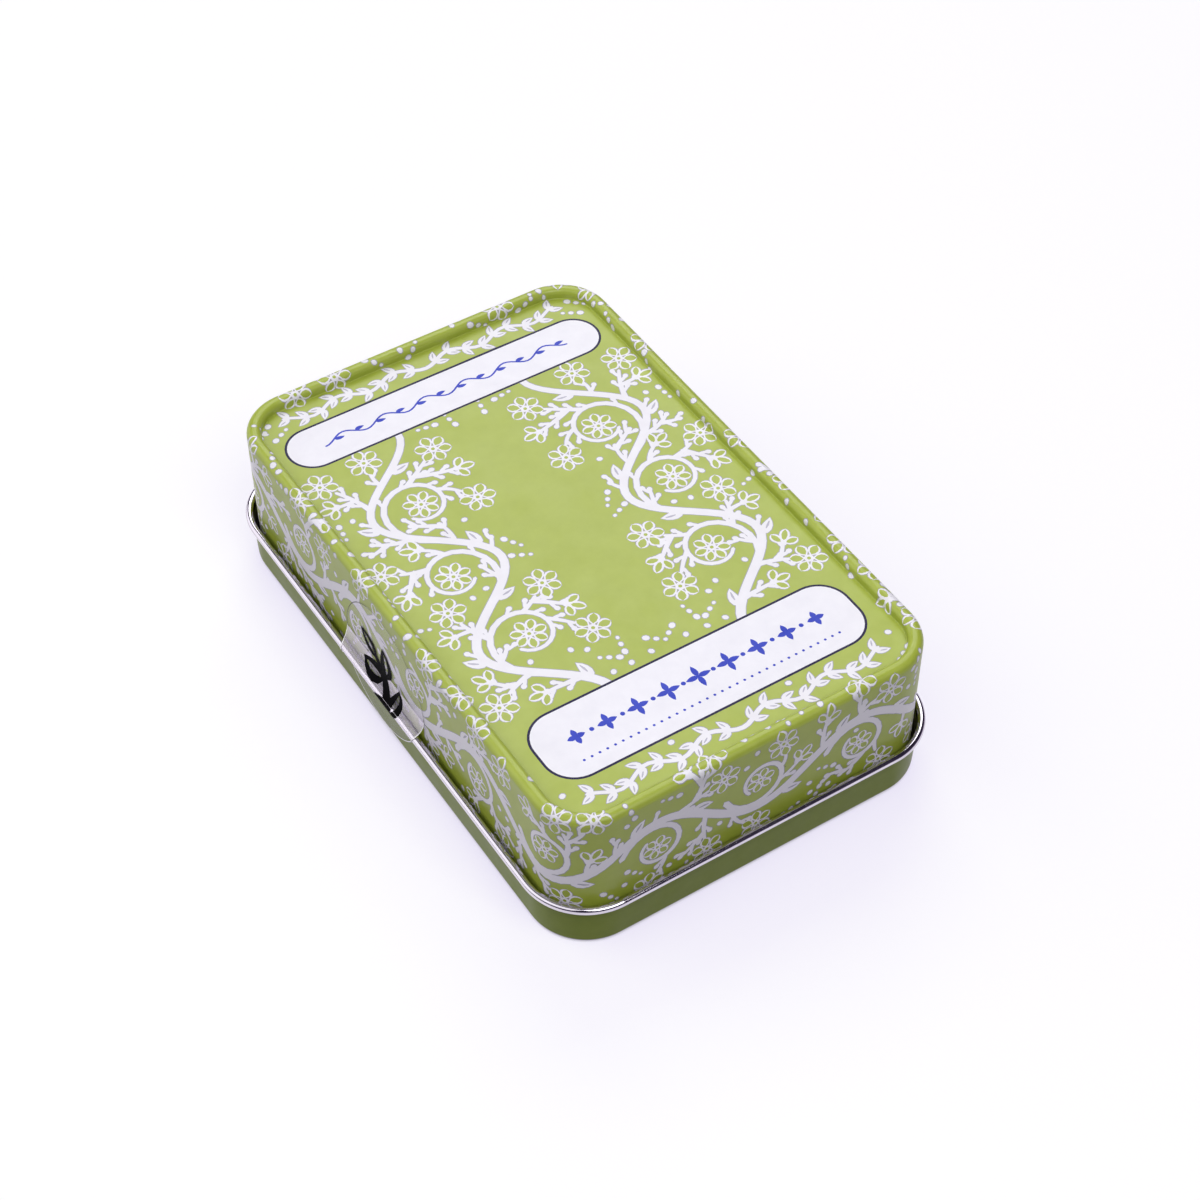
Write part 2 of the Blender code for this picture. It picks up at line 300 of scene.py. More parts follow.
def ringAt(plan, used, facets):
    # the blank's outline where that length of sheet lies outside the flat
    angles = np.radians(90) * np.arange(facets + 1) / facets
    points = []
    for quarter, signs in enumerate(((1, 1), (-1, 1), (-1, -1), (1, -1))):
        turned = angles + math.radians(90) * quarter
        toward = np.c_[np.cos(turned), np.sin(turned)]
        points.append(signs * plan["core"] + (plan["corner"] + used) * toward)
    return np.vstack(points)


def ringsAlong(plan, line):
    # the blank's outline, a closed line round it at each bend of the profile, and lines across each corner
    inner, *between, outer = (ringAt(plan, used, tinplate["cornerFacets"]) for used in line[:, 3])
    rings = [(ring, True) for ring in (inner, *between)]
    return outer, rings, [(np.array(ends), False) for ends in zip(inner, outer)]


def rectangle(x, half, y0, y1):
    # half its width to each side of x, between two heights
    return np.array([[x - half, y0], [x + half, y0], [x + half, y1], [x - half, y1]])


def areaOf(points):
    # positive where the corners run anticlockwise
    return 0.5 * np.sum(points[:, 0] * np.roll(points[:, 1], -1) - np.roll(points[:, 0], -1) * points[:, 1])


def edgesOf(triangles):
    # the three edges of each triangle, and a size by which two corners make one number
    edges = np.vstack((triangles[:, [0, 1]], triangles[:, [1, 2]], triangles[:, [2, 0]])).astype(np.int64)
    return edges, int(triangles.max()) + 1


def bordersOf(triangles, kinds):
    # edges with unlike kinds on their two sides, or with a triangle on one side only
    edges, size = edgesOf(triangles)
    codes = edges.min(axis=1) * size + edges.max(axis=1)
    order = np.argsort(codes, kind="stable")
    codes, sides = codes[order], np.tile(kinds, 3)[order]
    first = np.flatnonzero(np.r_[True, codes[1:] != codes[:-1]])
    unlike = np.minimum.reduceat(sides, first) != np.maximum.reduceat(sides, first)
    alone = np.diff(np.r_[first, len(codes)]) == 1
    found = codes[first][unlike | alone]
    return np.c_[found // size, found % size]


def rimOf(triangles):
    # edges that only one triangle uses, in that triangle's own direction
    edges, size = edgesOf(triangles)
    return edges[~np.isin(edges[:, 0] * size + edges[:, 1], edges[:, 1] * size + edges[:, 0])]


def loopsOf(rim):
    # the rim's edges strung into closed loops of corners
    following = dict(rim.tolist())
    loops = []
    while following:
        first, current = following.popitem()
        loop = [first]
        while current != first:
            loop.append(current)
            current = following.pop(current)
        loops.append(loop)
    return loops


def cutSheet(shapes, lines):
    # cuts the shapes and lines into one set of triangles that share their corners. The first cut tells for
    # each triangle the last kind, in the order of inkOrder, that covers it. The second keeps only the
    # borders between kinds, so that shapes of one kind that overlap become one. The first shape is the
    # blank's outline, and past it only a tab counts
    hole, gap, tab = (inkOrder.index(kind) for kind in ("hole", "gap", "tab"))
    corners = [polygon if areaOf(polygon) > 0 else polygon[::-1] for _, polygon in shapes]
    rank = [inkOrder.index(kind) for kind, _ in shapes]
    frameShapes = [k for k, kind in enumerate(rank) if k == 0 or kind in (hole, tab)]
    cutter = (1, 1e-4)  # keep what the shapes cover, and join corners nearer than so many millimetres

    def facesFrom(first, polygons):
        starts = first + np.concatenate(([0], np.cumsum([len(polygon) for polygon in polygons])))
        return [list(range(a, b)) for a, b in zip(starts, starts[1:])]

    def isPart(covers, outlined):
        return tab in covers or (outlined and hole not in covers)

    result = delaunay_2d_cdt(np.vstack(corners).tolist(), [], facesFrom(0, corners), *cutter)
    points = np.array([tuple(p) for p in result[0]])
    triangles = np.array(result[2])
    kinds = []
    for found in result[5]:
        covers = {rank[f] for f in found}
        highest = max(covers, default=hole) if isPart(covers, 0 in found) else hole
        kinds.append(0 if highest in (gap, tab) else highest)
    kinds = np.array(kinds)

    used, borders = np.unique(bordersOf(triangles, kinds), return_inverse=True)
    edges, start = borders.reshape(-1, 2).tolist(), len(used)
    for line, closed in lines:
        ids = list(range(start, start + len(line)))
        edges += list(zip(ids, ids[1:])) + ([(ids[-1], ids[0])] if closed else [])
        start += len(line)
    outlines = [corners[k] for k in frameShapes]
    allCorners = np.vstack([points[used]] + [line for line, _ in lines] + outlines).tolist()
    again = delaunay_2d_cdt(allCorners, edges, facesFrom(start, outlines), *cutter)
    finer = np.array([tuple(p) for p in again[0]])
    cut = np.array(again[2])
    sheet = BVHTree.FromPolygons(np.c_[points, 0 * points[:, 0]].tolist(), triangles.tolist())
    nearest = [sheet.find_nearest((x, y, 0.0))[2] for x, y in finer[cut].mean(axis=1).tolist()]
    part = [isPart({rank[frameShapes[f]] for f in found}, 0 in found) for found in again[5]]
    kinds = np.where(part, np.where(kinds[nearest] == hole, 0, kinds[nearest]), hole)
    return finer, cut, kinds


def makeSheet(name, shapes, lines, place, side, slots):
    # a closed sheet: the printed face, the plain face behind it, and the cut edge that joins the two. The
    # slots give each kind its finish: the first to any other kind, and bare, if it is there, to back and edge
    hole = inkOrder.index("hole")
    points, triangles, kinds = cutSheet(shapes, lines)
    triangles, kinds = triangles[kinds != hole], kinds[kinds != hole]
    rim = rimOf(triangles)
    loops = sorted((points[loop] for loop in loopsOf(rim)), key=areaOf, reverse=True)
    backShapes = [("coat" if areaOf(loop) > 0 else "hole", loop) for loop in loops]
    backPoints, backTriangles, backKinds = cutSheet(backShapes, lines)
    backTriangles = backTriangles[backKinds != hole]
    front, frontNormal = place(points, side)
    back, backNormal = place(backPoints, -side)

    # each corner of the front's rim is joined to the same corner of the back's
    rimIds, backRim = np.unique(rim), np.unique(rimOf(backTriangles))
    apart = np.abs(points[rimIds][:, None, :] - backPoints[backRim][None, :, :]).sum(axis=2)
    behind = np.zeros(len(points), int)
    behind[rimIds] = backRim[apart.argmin(axis=1)] + len(points)
    quads = np.c_[rim[:, 1], rim[:, 0], behind[rim[:, 0]], behind[rim[:, 1]]]
    edgeFaces = np.vstack((quads[:, [0, 1, 2]], quads[:, [0, 2, 3]]))
    faces = np.vstack((triangles, backTriangles[:, ::-1] + len(points), edgeFaces))
    if side < 0:
        faces = faces[:, ::-1]
    print(f"{name}: {len(faces)} triangles, rims meet within {apart.min(axis=1).max():.1e} mm")

    names = list(slots)
    slotOf = np.array([names.index(kind) if kind in names else 0 for kind in inkOrder + ["bare"]])
    slotIds = np.r_[slotOf[kinds], np.full(len(faces) - len(triangles), slotOf[-1])]
    used, inverse = np.unique(faces, return_inverse=True)
    faces = inverse.reshape(faces.shape)
    vertices = (np.vstack((front, back)) * mm)[used]
    mesh = bpy.data.meshes.new(name)
    mesh.from_pydata(vertices.tolist(), [], faces.tolist())
    mesh.polygons.foreach_set("material_index", slotIds.astype(np.int32))
    mesh.shade_smooth()
    normals = np.vstack((frontNormal, backNormal))[used][faces]
    corners = vertices[faces[-len(edgeFaces):]]
    across = np.cross(corners[:, 1] - corners[:, 0], corners[:, 2] - corners[:, 0])
    across /= np.maximum(np.linalg.norm(across, axis=1), 1e-12)[:, None]
    normals[-len(edgeFaces):] = across[:, None, :]
    mesh.normals_split_custom_set(normals.reshape(-1, 3).tolist())
    for finish in slots.values():
        mesh.materials.append(finish)
    piece = bpy.data.objects.new(name, mesh)
    bpy.context.collection.objects.link(piece)
    return piece


# The tray

tinplate = {
    "thickness": 0.25,
    "cornerFacets": 22,
    "hingeMiddle": 29.0,  # of each tongue and slot from the middle of the rear side
    "hingeHeight": 11.1,
}
trayPress = {
    "rimTop": 10.1,  # height of the rolled rim
    "rimRadius": 0.66,
    "rimTurn": 285,
    "rimFacets": 26,
    "edgeRadius": 1.1,  # between floor and wall
    "edgeFacets": 8,
    "draft": 0.3,  # how far the wall leans in at the floor
    "corner": 10.4,
    "tongueWidth": 9.0,
    "tongueBend": 0.45,
    "tongueFacets": 8,
    "tongueReach": 1.625,
    "tongueTip": 0.5,
    "notchGap": 0.8,  # on each side of a tongue
}


def makeTray():
    # one profile: the flat floor, a bend, the leaning wall and the roll of its rim. At a tongue the sheet
    # isn't rolled but goes on up, bends level through the shell's slot and ends in a short upturned tip
    press = trayPress
    thick = tinplate["thickness"]
    low, high = (np.array(corner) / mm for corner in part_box("base_tray"))
    curl = 2 * press["rimRadius"] - thick
    inset = press["draft"] + press["edgeRadius"]
    plan = planOf((high[0] - low[0]) / 2 - curl, -low[1] - curl, press["corner"], inset)
    rimHeight = press["rimTop"] - press["rimRadius"]
    rise = rimHeight - press["edgeRadius"]
    lean = math.degrees(math.atan2(press["draft"], rise))
    floorBend = (press["edgeRadius"] - thick / 2, 90 - lean, press["edgeFacets"])
    wall = [floorBend, math.hypot(rise, press["draft"])]
    roll = (press["rimRadius"] - thick / 2, -press["rimTurn"] + lean, press["rimFacets"])
    hook = [
        tinplate["hingeHeight"] - press["tongueBend"] - rimHeight,
        (press["tongueBend"], 90 + lean, press["tongueFacets"]),
        press["tongueReach"],
        (press["tongueBend"], -90, press["tongueFacets"]),
        press["tongueTip"],
    ]
    bare, rim, tongue = (bentLine((0, thick / 2), 0, wall + rest) for rest in ([], [roll], hook))
    nearY, rimY, tipY = (plan["halfWidth"] + line[-1, 3] for line in (bare, rim, tongue))
    half = press["tongueWidth"] / 2

    outline, rings, radials = ringsAlong(plan, rim)
    shapes = [("coat", outline)]
    folds = []
    for x in (-tinplate["hingeMiddle"], tinplate["hingeMiddle"]):
        shapes.append(("hole", rectangle(x, half + press["notchGap"], nearY, rimY)))
        shapes.append(("tab", rectangle(x, half, nearY, tipY)))
        for y in plan["halfWidth"] + tongue[len(bare):-1, 3]:
            folds.append((np.array([[x - half, y], [x + half, y]]), False))

    def place(points, side):
        inLine = np.abs(np.abs(points[:, 0]) - tinplate["hingeMiddle"]) <= half + 1e-3
        isTongue = (inLine & (points[:, 1] >= nearY))[:, None]
        hooked, rolled = (layOn(plan, line, points, side, thick) for line in (tongue, rim))
        return [np.where(isTongue, a, b) for a, b in zip(hooked, rolled)]

    return makeSheet("trayPressing", shapes, rings + folds + radials, place, -1, trayFinishes)


tray = makeTray()
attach(tray, "tray")
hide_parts("base_tray")
print("tray made")

# Shapes of the print, in blank millimetres. Each white stroke carries the thin grey edge of the press

stroke = {
    "edge": 0.13,  # width of the grey edge
    "berry": 0.58,
    "squash": 0.85,  # of a berry across its heading
    "dotFacets": 8,
    "hair": 0.58,  # width of the thinnest stalks
    "branch": (1.15, 0.6),  # widths of a branch at its root and tip
    "petalLine": 0.36,  # of the line round an open petal
}


def tendril(start, heading, length, bend, count):
    # a line of count points that turns evenly by bend degrees; rows are x, y and heading
    turned = np.radians(heading + bend * np.linspace(0, 1, count))
    between = (turned[1:] + turned[:-1]) / 2
    step = length / (count - 1)
    x = start[0] + np.concatenate(([0], np.cumsum(np.cos(between)) * step))
    y = start[1] + np.concatenate(([0], np.cumsum(np.sin(between)) * step))
    return np.c_[x, y, turned]


def withHeadings(x, y):
    # the points of a line, each with the heading from the point before it to the one after
    return np.c_[x, y, np.unwrap(np.arctan2(np.gradient(y), np.gradient(x)))]


def wave(start, end, middle, swing, crest, period, count):
    # a cosine along the first direction
    x = np.linspace(start, end, count)
    return withHeadings(x, middle + swing * np.cos(2 * np.pi * (x - crest) / period))


def winding(centre, outer, inner, fromAngle, turn, count=24):
    # a line that winds in from the outer to the inner radius, fast at first
    t = np.linspace(0, 1, count)
    angle = np.radians(fromAngle + turn * t)
    radius = inner + (outer - inner) * (1 - t) ** 2.3
    return withHeadings(centre[0] + radius * np.cos(angle), centre[1] + radius * np.sin(angle))


def along(line, share):
    # the place and heading at a share of a line's points
    i = share * (len(line) - 1)
    return [float(np.interp(i, np.arange(len(line)), column)) for column in line.T]


def outlineOf(line, half):
    # the two sides of a line at half its width, each end closed by a point half a width beyond it
    across = np.c_[-np.sin(line[:, 2]), np.cos(line[:, 2])] * half[:, None]
    tip, root = (
        line[i, :2] + half[i] * np.array([np.cos(heading), np.sin(heading)])
        for i, heading in ((-1, line[-1, 2]), (0, line[0, 2] + np.pi))
    )
    return np.vstack((line[:, :2] - across, tip, (line[:, :2] + across)[::-1], root))


def newPrint():
    # the shapes drawn so far, and the points and half widths that later ones keep clear of
    return {"shapes": [], "spots": []}


def drawBand(art, line, half, kind):
    # a line of that half width, over its grey edge where it is white
    if kind == "white":
        art["shapes"].append(("edge", outlineOf(line, half + stroke["edge"])))
    art["shapes"].append((kind, outlineOf(line, half)))
    art["spots"].append(np.c_[line[:, :2], half])


def drawLine(art, line, start, end, kind="white"):
    # a line whose width goes evenly from start to end
    drawBand(art, line, np.linspace(start, end, len(line)) / 2, kind)


def drawDot(art, centre, radius, squash=stroke["squash"], turn=0.0, kind="white"):
    grown = (("edge", stroke["edge"]), ("white", 0.0)) if kind == "white" else ((kind, 0.0),)
    angle = np.linspace(0, 2 * np.pi, stroke["dotFacets"] + 1)[:-1]
    c, s = math.cos(turn), math.sin(turn)
    for part, extra in grown:
        x = (radius + extra) * np.cos(angle)
        y = (radius * squash + extra) * np.sin(angle)
        art["shapes"].append((part, np.c_[centre[0] + c * x - s * y, centre[1] + s * x + c * y]))
    art["spots"].append(np.array([[centre[0], centre[1], radius]]))


def drawLeaf(art, root, heading, length, width, lean=0.0, inside="vein", kind="white"):
    # half the width is a sine along a bent middle line. A leaf swells early and has a grey vein or a slit;
    # an open petal swells late, has a round tip and is only a line round the bare coat
    share = np.linspace(0, 1, 6)
    half = width / 2 * np.sin(np.pi * share**0.8) ** 0.85 + 0.03
    if inside == "open":
        share = 1 - (1 - share) ** 1.7
        half = width / 2 * np.sin(np.pi * share**1.3) ** 0.55 + 0.05
    bent = tendril(root, heading, length, lean, 13)
    line = np.column_stack([np.interp(share, np.linspace(0, 1, 13), column) for column in bent.T])
    drawBand(art, line, half, kind)
    if inside == "vein":
        slit = 0.10 * width * np.sin(np.pi * np.linspace(0.15, 0.85, 3)) + 0.02
        art["shapes"].append((inside, outlineOf(line[2:5], slit)))
    elif inside == "clear":
        slit = 0.13 * width * np.sin(np.pi * np.linspace(0.1, 0.9, 4)) + 0.05
        art["shapes"].append((inside, outlineOf(line[1:5], slit)))
    elif inside == "open":
        bare = np.maximum(half[1:5] - stroke["petalLine"], 0.04)
        art["shapes"].append(("gap", outlineOf(line[1:5], bare)))


def drawTwig(art, root, heading, length, bend):
    # a short stalk that ends in a berry
    line = tendril(root, heading, length, bend, 4)
    drawLine(art, line, 1.2 * stroke["hair"], stroke["hair"])
    drawDot(art, line[-1, :2], stroke["berry"], turn=line[-1, 2])


def drawFlower(art, centre, radius, petals, turn=12.0):
    # open petals round a ring, all in shares of the flower's radius
    for k in range(petals):
        angle = turn + 360 * k / petals
        a = math.radians(angle)
        root = (centre[0] + 0.2 * radius * math.cos(a), centre[1] + 0.2 * radius * math.sin(a))
        drawLeaf(art, root, angle, 0.82 * radius, 3.3 * radius / petals + 0.35, inside="open")
    drawDot(art, centre, 0.27 * radius, 1.0)
    drawDot(art, centre, 0.11 * radius, 1.0, kind="gap")


def drawFan(art, root, heading, size):
    # open petals spread over half a turn, the outer ones shorter, on a small cup
    for turn in (-64, 64, 0):
        length = size * (1.0 - abs(turn) / 400)
        drawLeaf(art, root, heading + turn, length, size * 0.52, -turn / 4, inside="open")
    drawDot(art, root, size * 0.2, 1.0)


def berriesAlong(art, line, count, length):
    # twigs by turns on the two sides of a stalk
    for k in range(count):
        x, y, turned = along(line, 0.25 + 0.55 * k / max(count - 1, 1))
        side = 1 if k % 2 else -1
        drawTwig(art, (x, y), math.degrees(turned) + side * 56, length, -side * 30)


def leavesAlong(art, line, every, length, width, away=46, lean=30, **look):
    # leaves on the outer side of each turn of a stem
    for i in range(3, len(line) - 3, every):
        turning = np.sign(line[i + 1, 2] - line[i - 1, 2]) or 1.0
        heading = math.degrees(line[i, 2]) - turning * away
        drawLeaf(art, line[i, :2], heading, length, width, turning * lean, **look)


def leafPair(art, line, i, length, width, away, lean, **look):
    # a leaf on each side of a stem at one of its points
    for side in (1, -1):
        heading = math.degrees(line[i, 2]) + side * away
        drawLeaf(art, line[i, :2], heading, length, width, -side * lean, **look)


def drawBranch(art, scroll, centre, side):
    # a branch that winds in to a flower, and its twigs; what it gives back may bear shoots
    turn, fromAngle = side * scroll["turn"], scroll["level"] + side * scroll["fromAngle"]
    line = winding(centre, scroll["outer"], scroll["inner"], fromAngle, turn)
    drawLine(art, line, *stroke["branch"])
    drawFlower(art, centre, 0.87 * scroll["inner"], scroll["petals"])
    for i in scroll["twigsAt"]:
        drawTwig(art, line[i, :2], math.degrees(line[i, 2]) - side * 62, 1.5, side * 30)
    return line[:16]


def roomAt(spots, points, around):
    # distance from each point to the nearest thing drawn; a print that goes round meets itself
    dx = spots[:, None, 0] - points[None, :, 0]
    if around:
        dx = (dx + around / 2) % around - around / 2
    return (np.hypot(dx, spots[:, None, 1] - points[None, :, 1]) - spots[:, None, 2]).min(axis=0)


shoot = {
    "apart": 2.3,  # least distance between two roots
    "where": (0.05, 0.95),  # its root, in shares of its stem
    "turn": (35, 70),  # degrees from its stem
    "bend": (-20, 60),
    "beside": 0.85,  # clear space beside it, but for what is nearer to its root than the next
    "atRoot": 1.6,
    "clear": {"flower": 1.08, "fan": 0.72, "berry": 1.4},  # space about the head, in sizes of the head
    "twigs": (3.2, 5.0, 6.5),  # lengths past which it has two, three and four twigs
    "twigLength": 1.7,
    "rootWidth": (0.85, 1.05),  # with up to two twigs, and with more
}


def grow(art, stems, keepOut, seed, passes, around=0.0):
    # side shoots from random places on the stems, wherever one finds room, and shoots from those in turn.
    # A pass gives the shoot's head, its shortest and longest length, the head's size and how often to try
    random = np.random.default_rng(seed)
    spots = np.vstack(art["spots"])
    roots = []
    for head, shortest, longest, size, tries in passes:
        for _ in range(tries):
            stem = stems[random.integers(len(stems))]
            x, y, turned = along(stem, random.uniform(*shoot["where"]))
            if any((x - a) ** 2 + (y - b) ** 2 < shoot["apart"] ** 2 for a, b in roots):
                continue
            side = random.choice((-1.0, 1.0))
            heading = math.degrees(turned) + side * random.uniform(*shoot["turn"])
            length = random.uniform(shortest, longest)
            line = tendril((x, y), heading, length, -side * random.uniform(*shoot["bend"]), 6)
            turn = random.uniform(0, 60)
            path, tip, last = line[3:, :2], line[-1, :2], line[-1, 2]
            toward = np.array([math.cos(last), math.sin(last)])
            headAt = tip + (size if head == "flower" else 0.5 * size) * toward
            root = np.hypot(spots[:, 0] - x, spots[:, 1] - y) < shoot["atRoot"] + spots[:, 2]
            crowded = roomAt(spots[~root], path, around).min() < shoot["beside"]
            if crowded or keepOut(*headAt) or keepOut(*tip):
                continue
            if roomAt(spots, headAt[None, :], around)[0] < shoot["clear"][head] * size:
                continue
            count = len(art["spots"])
            twigs = sum(length > least for least in shoot["twigs"])
            drawLine(art, line, shoot["rootWidth"][twigs > 1], stroke["hair"])
            if twigs:
                berriesAlong(art, line, 1 + twigs, shoot["twigLength"])
            if head == "flower":
                drawFlower(art, headAt, size, 6, turn)
            elif head == "fan":
                drawFan(art, tip, math.degrees(last), size)
            else:
                drawDot(art, tip, stroke["berry"], turn=last)
            stems.append(line)
            roots.append((x, y))
            spots = np.vstack([spots] + art["spots"][count:])


def fillIn(art, low, high, tries, keepOut, seed, around=0.0):
    # rows of dots and single dots at random places that lie clear of all that is drawn. A group gives the
    # room that it needs, and for each dot its step along the row and its radius
    row, single = (1.75, ((-1.45, 0.38), (0.0, 0.5), (1.65, 0.64))), (1.1, ((0.0, 0.56),))
    low, high = np.array(low), np.array(high)
    random = np.random.default_rng(seed)
    spots = np.vstack(art["spots"])
    for room, dots in (row, single):
        places = low + (high - low) * random.random((tries, 2))
        turns = 2 * math.pi * random.random(tries)
        for place, turn in zip(places, turns):
            if keepOut(*place) or roomAt(spots, place[None, :], around)[0] < room:
                continue
            count = len(art["spots"])
            toward = np.array([math.cos(turn), math.sin(turn)])
            for step, radius in dots:
                drawDot(art, place + step * toward, radius, turn=turn)
            spots = np.vstack([spots] + art["spots"][count:])


# The shell's print: a running scroll of foliage in the traditional manner, the same on both long sides

fields = {
    "far": {"low": (-45.3, -30.6), "high": (-35.7, 30.6), "corner": 4.8},
    "near": {"low": (30.4, -29.4), "high": (44.2, 29.4), "corner": 5.3},
    "line": 0.42,  # width of the navy outline
    "facets": 10,  # of each corner
}
panelScroll = {
    "middle": 19.3,  # of the stem from the tin's long axis
    "swing": 7.0,
    "crest": 15.0,
    "period": 34.0,
    "start": 32.0,
    "end": -37.0,
    "stem": (1.6, 1.2),  # widths at root and tip
    "outer": 8.8,  # radii of the branches that wind in
    "inner": 3.5,
    "offset": 1.9,  # of a branch's middle from the stem's
    "level": 0,  # degrees: a branch sets out so far to one side of level, and winds in by its turn
    "fromAngle": 13,
    "turn": 400,
    "petals": 7,
    "twigsAt": (6, 9, 12, 15),  # points of a branch
    "openLength": 29.0,  # the bare middle, as half axes
    "openWidth": 9.0,
    "openMiddle": -3.0,
    "leaves": (9, 4.2, 1.8),  # at one in nine points of the stem: length and width
    "halfLength": 50.6,  # things grow within it
    "heights": (0.9, 31.6),  # and between these distances from the long axis
    "underFields": ((-46.2, -34.8), (29.4, 45.2)),  # but not along these, short of fieldEnd
    "fieldEnd": 31.2,
    "passes": (
        ("flower", 3.0, 8.5, 3.1, 700),
        ("fan", 2.5, 8.0, 3.2, 1500),
        ("berry", 2.0, 7.0, 0.9, 2500),
    ),
    "fill": ((-51.5, 0.0), (51.5, 33.0), 450),  # corners of the place for dots, and tries
    "seeds": (5, 11),
}
leafyStrip = {
    "middles": (-48.5, 47.9),  # between the white fields and the bead
    "wave": (0.01, 27.0, 0, 1.0, 0, 11.0, 28),
    "stem": (0.8, 0.6),
    "leaves": (2.7, 1.2, 52, 20),  # length, width, degrees from the stem, lean
}


def panelPrint():
    # one half of the panel's print, and its mirror image
    art = newPrint()
    scroll = panelScroll
    shape = [scroll[name] for name in ("start", "end", "middle", "swing", "crest", "period")]
    stem = wave(*shape, 56)
    drawLine(art, stem, *scroll["stem"])
    stems = [stem]
    for step, side in enumerate((1, -1, 1)):
        x = scroll["crest"] - step * scroll["period"] / 2
        stems.append(drawBranch(art, scroll, (x, scroll["middle"] - side * scroll["offset"]), side))
    leavesAlong(art, stem, *scroll["leaves"])
    for x in leafyStrip["middles"]:
        line = wave(*leafyStrip["wave"])
        line = withHeadings(x + line[:, 1], line[:, 0])
        drawLine(art, line, *leafyStrip["stem"])
        for i in range(2, len(line) - 1, 3):
            leafPair(art, line, i, *leafyStrip["leaves"])

    def keepOut(x, y):
        bare = ((x - scroll["openMiddle"]) / scroll["openLength"]) ** 2 + (y / scroll["openWidth"]) ** 2 < 1
        underField = y < scroll["fieldEnd"] and any(a < x < b for a, b in scroll["underFields"])
        nearest, furthest = scroll["heights"]
        return bare or underField or y < nearest or y > furthest or abs(x) > scroll["halfLength"]

    grow(art, stems, keepOut, scroll["seeds"][0], scroll["passes"])
    fillIn(art, *scroll["fill"], keepOut, scroll["seeds"][1])
    return art["shapes"] + [(kind, points * np.array([1.0, -1.0])) for kind, points in art["shapes"]]


def fieldOutline(field, extra):
    # a white field's rounded rectangle, grown by extra
    (x0, y0), (x1, y1) = field["low"], field["high"]
    plan = planOf((x1 - x0) / 2, (y1 - y0) / 2, field["corner"], -extra)
    return ringAt(plan, 0.0, fields["facets"]) + np.array([(x0 + x1) / 2, (y0 + y1) / 2])


ornament = {
    "cross": (-0.6, 5.6),  # from the field's middle line, and from one cross to the next
    "petal": (2.3, 0.18, 0.95),  # length in the middle cross, its loss with each step, width
    "dot": 0.42,  # radius, halfway to the next cross
    "beads": (3.9, 1.4, 0.24),  # from the field's middle line, from one to the next, radius
    "wave": (-24.0, 24.0, 0.0, 0.85, 0.0, 8.0, 73),
    "line": 0.34,
    "leaves": (6, 1.9, 0.75, 50, 20),  # one in six points: length, width, degrees from the line, lean
}


def fieldPrint():
    # the two white fields, each in a navy line and with a plain row of ornament
    art = newPrint()
    plain = {"inside": "", "kind": "accent"}
    for name in ("far", "near"):
        for kind, extra in (("navy", fields["line"] / 2), ("label", -fields["line"] / 2)):
            art["shapes"].append((kind, fieldOutline(fields[name], extra)))
    far, near = ((fields[name]["low"][0] + fields[name]["high"][0]) / 2 for name in ("far", "near"))
    (aside, apart), (length, loss, width) = ornament["cross"], ornament["petal"]
    for k in range(-4, 5):
        for turn in (0, 90, 180, 270):
            drawLeaf(art, (near + aside, apart * k), turn, length - loss * abs(k), width, **plain)
        if k < 4:
            drawDot(art, (near + aside, apart * k + apart / 2), ornament["dot"], 1.0, kind="accent")
    aside, apart, size = ornament["beads"]
    for k in range(-17, 18):
        drawDot(art, (near + aside, apart * k), size, 1.0, kind="accent")
    line = wave(*ornament["wave"])
    line = withHeadings(far + line[:, 1], line[:, 0])
    drawLine(art, line, ornament["line"], ornament["line"], "accent")
    leavesAlong(art, line, *ornament["leaves"], **plain)
    return art["shapes"]


wallScroll = {
    "repeats": 9,  # round the whole wall
    "middle": 18.2,  # height of the stem's middle
    "swing": 4.5,
    "stem": (1.7, 1.7),
    "outer": 6.6,
    "inner": 2.9,
    "offset": 1.7,
    "level": 180,
    "fromAngle": 12,
    "turn": 395,
    "petals": 6,
    "twigsAt": (),
    "leaves": (8, 4.2, 1.8),
    "heights": (7.5, 31.6),  # between which things grow
    "passes": (
        ("flower", 2.5, 6.5, 2.9, 900),
        ("fan", 2.5, 7.0, 3.1, 1500),
        ("berry", 2.0, 6.0, 0.9, 2500),
    ),
    "fill": (7.5, 31.5, 700),  # heights of the place for dots, and tries
    "seeds": (8, 23),
}


